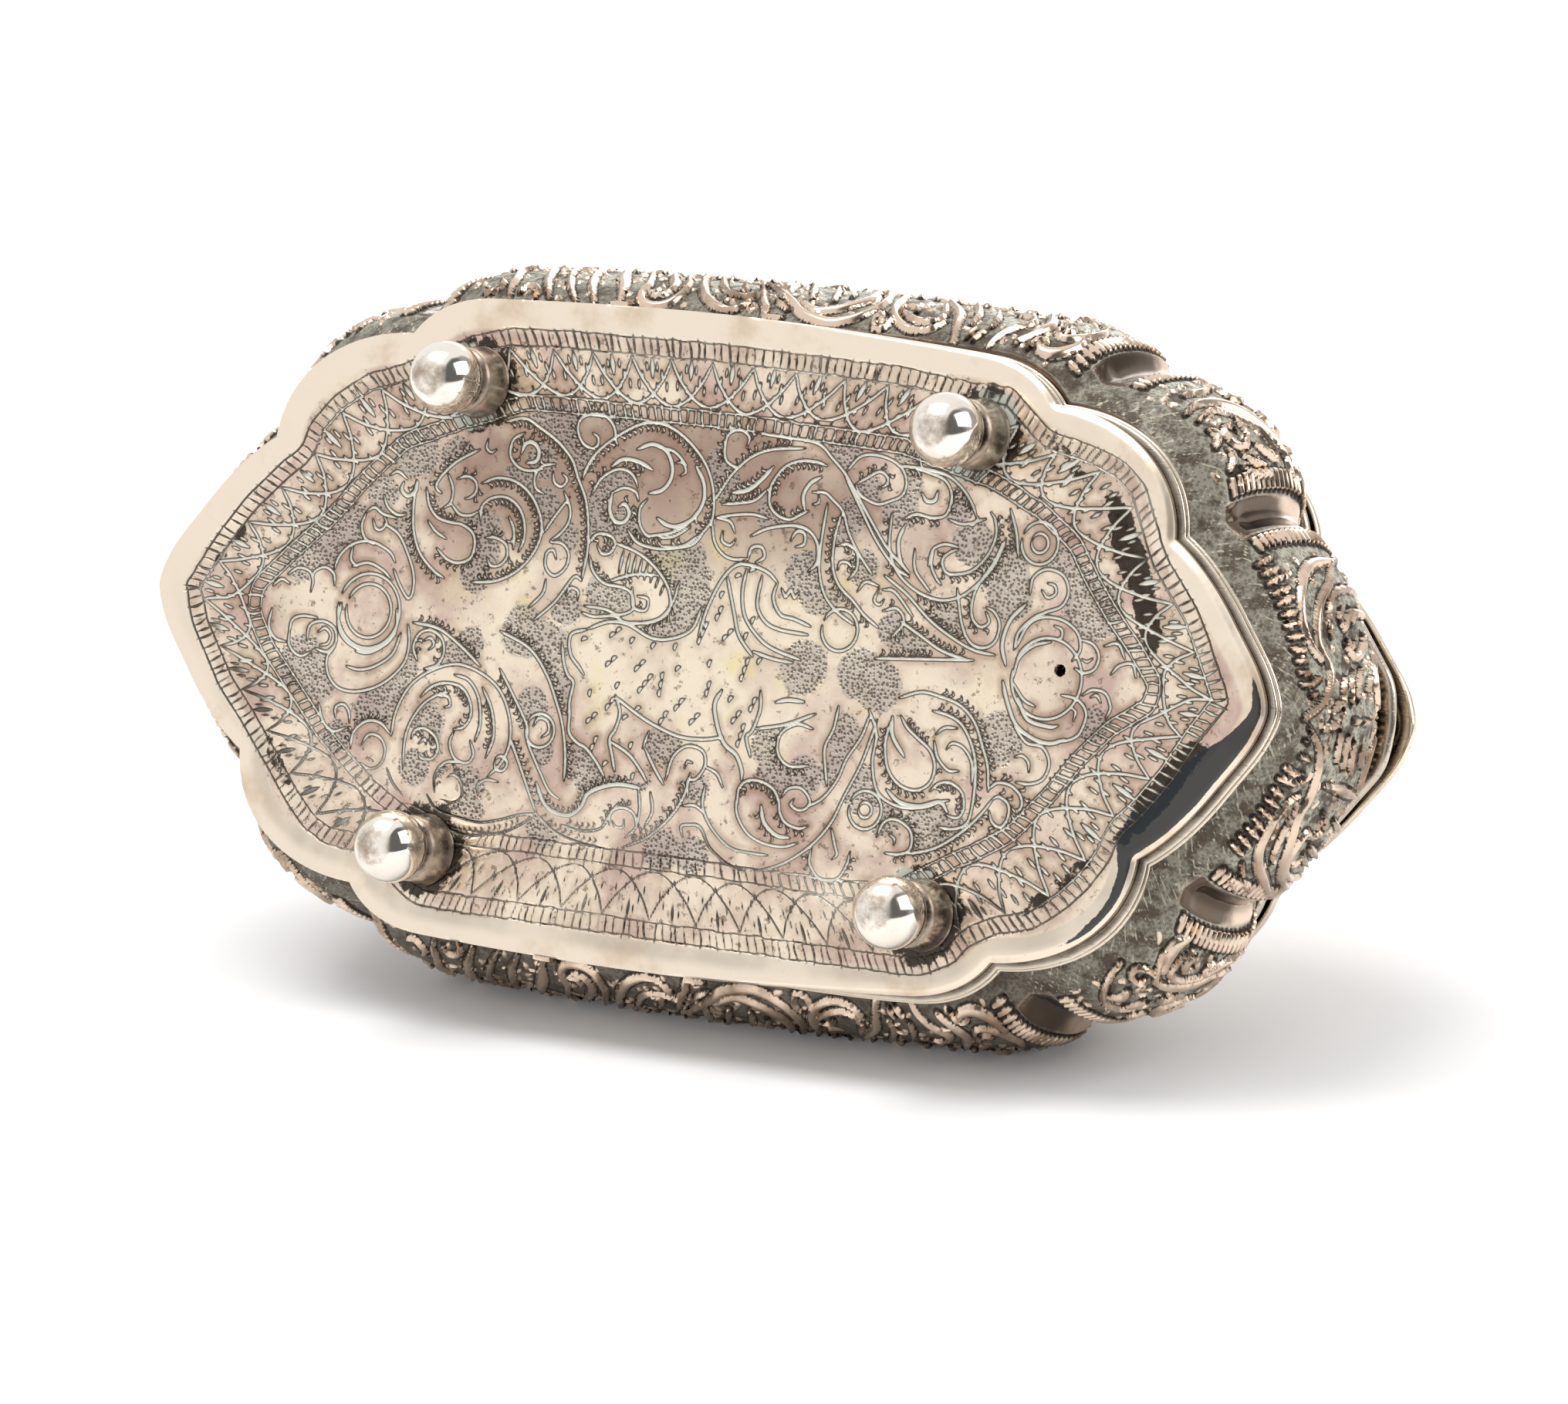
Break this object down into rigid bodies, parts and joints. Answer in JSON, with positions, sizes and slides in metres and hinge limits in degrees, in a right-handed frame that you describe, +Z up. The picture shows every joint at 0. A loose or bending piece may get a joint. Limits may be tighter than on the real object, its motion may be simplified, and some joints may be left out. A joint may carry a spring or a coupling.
{
  "type": "hinged box",
  "caption": "Low lobed metal box with bulging chased panels between plain flutes, an engraved base on ball feet, and a domed lid on a knuckle hinge along its back.",
  "frame": {"origin": "middle of the footprint, on the surface that the four ball feet stand on", "axes": "+X from tip to tip along the long axis, +Y from the plain front to the hinge at the back, +Z up through the lid"},
  "size_m": [0.1444, 0.0788, 0.0517],
  "materials": {
    "plain_silver": "worn polish, warm tone",
    "engraved_silver": "satin with engraved lines and brown tarnish",
    "chased_silver": "chased relief with grey-green residue in its recesses",
    "polished_silver": "bright worn polish",
    "hinge_silver": "satin, drawn tube and wire"
  },
  "bodies": {
    "box": {"base_plate": "engraved_silver", "base_edge_moulding": "plain_silver", "body_wall": "chased_silver", "body_rim_roll": "plain_silver", "body_rim_wire": "plain_silver", "body_bezel": "plain_silver", "foot_ball_front_left": "polished_silver", "foot_ball_front_right": "polished_silver", "foot_ball_back_left": "polished_silver", "foot_ball_back_right": "polished_silver", "foot_collar_front_left": "polished_silver", "foot_collar_front_right": "polished_silver", "foot_collar_back_left": "polished_silver", "foot_collar_back_right": "polished_silver", "body_hinge_knuckle_1": "hinge_silver", "body_hinge_knuckle_2": "hinge_silver", "body_hinge_knuckle_3": "hinge_silver", "hinge_pin": "hinge_silver", "body_hinge_bearer": "hinge_silver"},
    "lid": {"lid_flange": "plain_silver", "lid_bead": "plain_silver", "lid_shell": "chased_silver", "lid_hinge_bearer": "hinge_silver", "lid_hinge_knuckle_1": "hinge_silver", "lid_hinge_knuckle_2": "hinge_silver"}
  },
  "joints": [
    {"name": "lid_hinge", "type": "hinge", "parent": "box", "child": "lid", "pos_m": [0, 0.0361, 0.03785], "axis": [-1, 0, 0], "range_deg": [0, 105]}
  ]
}
